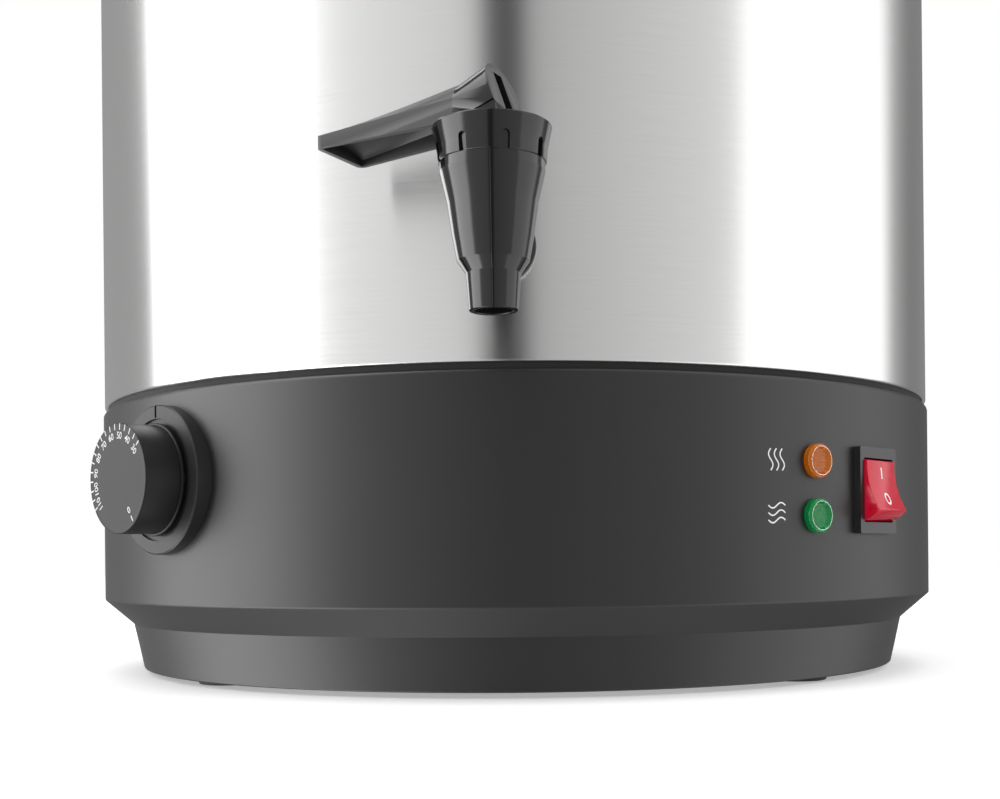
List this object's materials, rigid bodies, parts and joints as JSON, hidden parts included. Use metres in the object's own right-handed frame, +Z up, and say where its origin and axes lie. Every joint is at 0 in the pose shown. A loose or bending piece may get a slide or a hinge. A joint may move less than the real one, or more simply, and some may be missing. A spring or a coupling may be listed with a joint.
{
  "type": "hot water urn",
  "caption": "Round steel hot water urn on a moulded base, with a lever tap, dial thermostat, signal lamps, rocker switch, bow handles and a lift-off lid.",
  "frame": {"origin": "on the floor under the feet, at the axis of the round body", "axes": "+Z up along the body's axis, -Y the way the tap faces, +X to the right for someone who faces the tap"},
  "size_m": [0.4448, 0.4371, 0.4976],
  "materials": {
    "housing": "fine textured matt",
    "gasket": "matt",
    "jacket_steel": "brushed round the body",
    "tank_steel": "drawn, satin",
    "lid_steel": "polished satin",
    "plate_steel": "black coated",
    "shield_steel": "aluminised",
    "feet": "matt",
    "fastener": "zinc plated",
    "collar": "satin",
    "handle": "satin",
    "tap_plastic": "gloss",
    "silicone": "translucent white silicone",
    "seal": "food grade silicone",
    "stem": "natural moulding",
    "pin_steel": "polished",
    "dial_plate": "satin",
    "dial_knob": "satin, ribbed side",
    "spindle": "turned",
    "thermostat": "moulded, with plated spades",
    "copper": "drawn copper",
    "clip_steel": "spring steel",
    "heater_aluminium": "as cast",
    "element": "heating tube sheath",
    "cutout": "stamped can",
    "amber": "translucent amber",
    "green": "translucent green",
    "lamp": "natural moulding",
    "switch_case": "satin",
    "rocker": "translucent red, gloss",
    "gland": "satin nylon",
    "terminals": "natural nylon"
  },
  "bodies": {
    "urn": {"base_housing": "housing", "base_plate": "plate_steel", "rubber_feet": "feet", "base_screws": "fastener", "seam_gasket": "gasket", "outer_jacket": "jacket_steel", "jacket_screws": "fastener", "heat_shield": "shield_steel", "inner_tank": "tank_steel", "top_collar": "collar", "left_handle": "handle", "right_handle": "handle", "handle_screws": "fastener", "handle_backings": "shield_steel", "tap_body": "tap_plastic", "tap_washers": "seal", "tap_spacer": "stem", "tap_nut": "tap_plastic", "tap_bonnet": "tap_plastic", "dial_escutcheon": "dial_plate", "thermostat_screws": "fastener", "thermostat_body": "thermostat", "sensor_bulb": "copper", "capillary": "copper", "bulb_clip": "clip_steel", "heater_plate": "heater_aluminium", "heating_element": "element", "thermal_cutout": "cutout", "amber_lens": "amber", "green_lens": "green", "lamp_bodies": "lamp", "lamp_clips": "clip_steel", "switch_body": "switch_case", "cable_gland": "gland", "gland_nut": "gland", "terminal_block": "terminals"},
    "knob": {"control_knob": "dial_knob", "thermostat_spindle": "spindle"},
    "rocker": {"switch_rocker": "rocker"},
    "tap_swivel": {"thrust_washer": "stem"},
    "tap_lift": {"tap_stem": "stem", "seat_cup": "silicone"},
    "lever": {"tap_lever": "tap_plastic", "lever_pin": "pin_steel"},
    "lid": {"lid": "lid_steel", "lid_knob": "handle", "lid_screw": "fastener"}
  },
  "joints": [
    {"name": "knob_turn", "type": "hinge", "parent": "urn", "child": "knob", "pos_m": [-0.1223, -0.13207, 0.076], "axis": [-0.6794, -0.7337, 0], "range_deg": [-125, 145]},
    {"name": "rocker_tilt", "type": "hinge", "parent": "urn", "child": "rocker", "pos_m": [0.13213, -0.1215, 0.07], "axis": [0.6769, 0.7361, 0], "range_deg": [0, 30]},
    {"name": "lever_swivel", "type": "hinge", "parent": "urn", "child": "tap_swivel", "pos_m": [0, -0.225, 0.167], "axis": [0, 0, 1], "range_deg": [-13, 247]},
    {"name": "stem_lift", "type": "slide", "parent": "tap_swivel", "child": "tap_lift", "axis": [0, 0, 1], "range_m": [0, 0.0023], "deforming": ["seat_cup"]},
    {"name": "lever_tilt", "type": "hinge", "parent": "tap_lift", "child": "lever", "pos_m": [0, -0.225, 0.1716], "axis": [0.454, 0.891, 0], "range_deg": [0, 109.5]},
    {"name": "lid_lift", "type": "slide", "parent": "urn", "child": "lid", "axis": [0, 0, 1], "range_m": [0, 0.15]}
  ],
  "couplings": [
    {"joint": "stem_lift", "follows": "lever_tilt", "m_per_rad": 0.001198}
  ]
}
